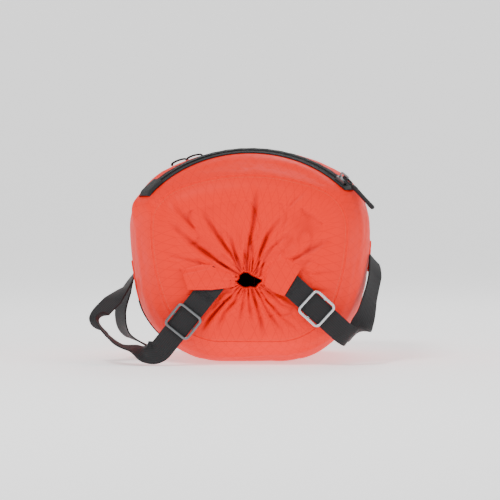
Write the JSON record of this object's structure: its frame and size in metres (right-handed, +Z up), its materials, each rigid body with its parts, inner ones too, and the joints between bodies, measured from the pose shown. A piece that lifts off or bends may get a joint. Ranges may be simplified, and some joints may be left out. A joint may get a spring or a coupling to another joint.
{
  "type": "stuff sack",
  "caption": "Barrel-shaped ripstop stuff sack lying on its side, with a gathered elastic mouth, a curved top zip and webbing straps in sliding square buckles.",
  "frame": {"origin": "centre of the flat strip on the underside that the sack rests on", "axes": "+Z up, mouth faces -Y, +X to the right of someone looking into the mouth"},
  "size_m": [0.3243, 0.302, 0.2372],
  "materials": {
    "ripstop": "orange-red coated ripstop with a raised diamond grid",
    "seam_tape": "folded ripstop binding with stitching",
    "liner": "matt black coated cloth",
    "elastic": "knitted elastic",
    "webbing": "black nylon webbing with a ribbed edge",
    "zip_tape": "black coated zip tape",
    "zip_coil": "black nylon coil",
    "slider_metal": "grey plated zinc",
    "pull_cord": "braided cord",
    "grip": "matt moulded rubber with ridges",
    "buckle_metal": "polished gunmetal wire"
  },
  "bodies": {
    "sack": {"front_seam_piping": "seam_tape", "lash_webbing": "webbing", "left_flank_webbing": "webbing", "left_front_strap": "webbing", "left_inner_loop": "webbing", "left_outer_loop": "webbing", "left_side_patch": "ripstop", "left_strap_stub": "webbing", "left_wing": "ripstop", "liner": "liner", "mouth_elastic": "elastic", "mouth_hem": "ripstop", "mouth_skirt": "ripstop", "rear_panel": "ripstop", "rear_seam_binding": "seam_tape", "right_front_strap": "webbing", "right_rear_strap": "webbing", "right_side_patch": "ripstop", "right_strap_stub": "webbing", "right_wing": "ripstop", "side_wall": "ripstop", "zip_coil": "zip_coil", "zip_end_tab_right": "zip_tape", "zip_garage_left": "zip_tape", "zip_tape_front": "zip_tape", "zip_tape_rear": "zip_tape"},
    "slider": {"zip_slider": "slider_metal"},
    "puller": {"pull_loop": "pull_cord", "pull_grip": "grip"},
    "left_buckle": {"left_buckle_frame": "buckle_metal"},
    "right_buckle": {"right_buckle_frame": "buckle_metal"}
  },
  "joints": [
    {"name": "zip_slide", "type": "hinge", "parent": "sack", "child": "slider", "pos_m": [0, -0.18567, 0.11374], "axis": [0, 0.8462, -0.5329], "range_deg": [-84, 0]},
    {"name": "pull_swing", "type": "hinge", "parent": "slider", "child": "puller", "pos_m": [0.1034, -0.13435, 0.20543], "axis": [-0.5015, -0.8632, -0.0578], "range_deg": [0, 120]},
    {"name": "left_buckle_slide", "type": "slide", "parent": "sack", "child": "left_buckle", "axis": [-0.6239, 0.0499, -0.7799], "range_m": [-0.012, 0.016]},
    {"name": "right_buckle_slide", "type": "slide", "parent": "sack", "child": "right_buckle", "axis": [0.7361, 0.0545, -0.6747], "range_m": [-0.012, 0.016]}
  ]
}
